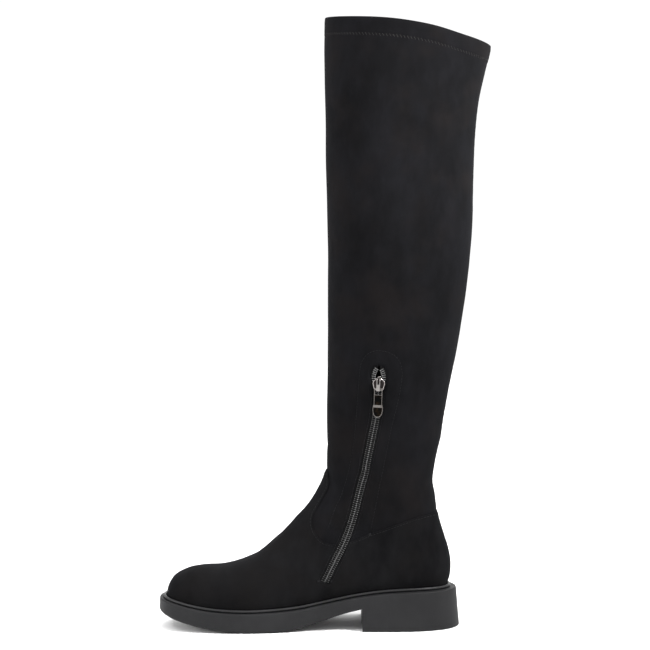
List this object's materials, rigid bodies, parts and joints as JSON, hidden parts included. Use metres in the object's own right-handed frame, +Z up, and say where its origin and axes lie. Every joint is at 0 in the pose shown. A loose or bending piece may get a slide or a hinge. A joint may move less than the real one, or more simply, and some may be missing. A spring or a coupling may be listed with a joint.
{
  "type": "over-the-knee boot",
  "caption": "Right over-the-knee stretch boot in black faux suede with a medial side zip and a one-piece rubber sole with a low block heel.",
  "frame": {"origin": "on the floor under the centre of the heel, on the flat bottom face of the heel block", "axes": "+Z up, -Y from the heel towards the toe, +X towards the medial side, which holds the zip"},
  "size_m": [0.1087, 0.298, 0.5473],
  "materials": {
    "sole_rubber": "matt moulded rubber",
    "welt_rubber": "smooth satin rubber",
    "sock_lining": "brushed textile",
    "foot_suede": "matt faux suede",
    "leg_suede": "matt stretch faux suede",
    "zip_tape": "woven tape",
    "zip_coil": "glossy nylon coil",
    "slider_metal": "gunmetal plating",
    "tab_metal": "gunmetal plating with black enamel"
  },
  "bodies": {
    "boot": {"sole": "sole_rubber", "welt": "welt_rubber", "insole": "sock_lining", "upper": "foot_suede", "shaft": "leg_suede", "zip_tape": "zip_tape", "zip_chain": "zip_coil", "zip_slider": "slider_metal"},
    "pull_tab": {"zip_pull_tab": "tab_metal"}
  },
  "joints": [
    {"name": "pull_tab_hinge", "type": "hinge", "parent": "boot", "child": "pull_tab", "pos_m": [0.04666, -0.03109, 0.2194], "axis": [-0.1484, -0.9883, 0.0349], "range_deg": [0, 135]}
  ]
}
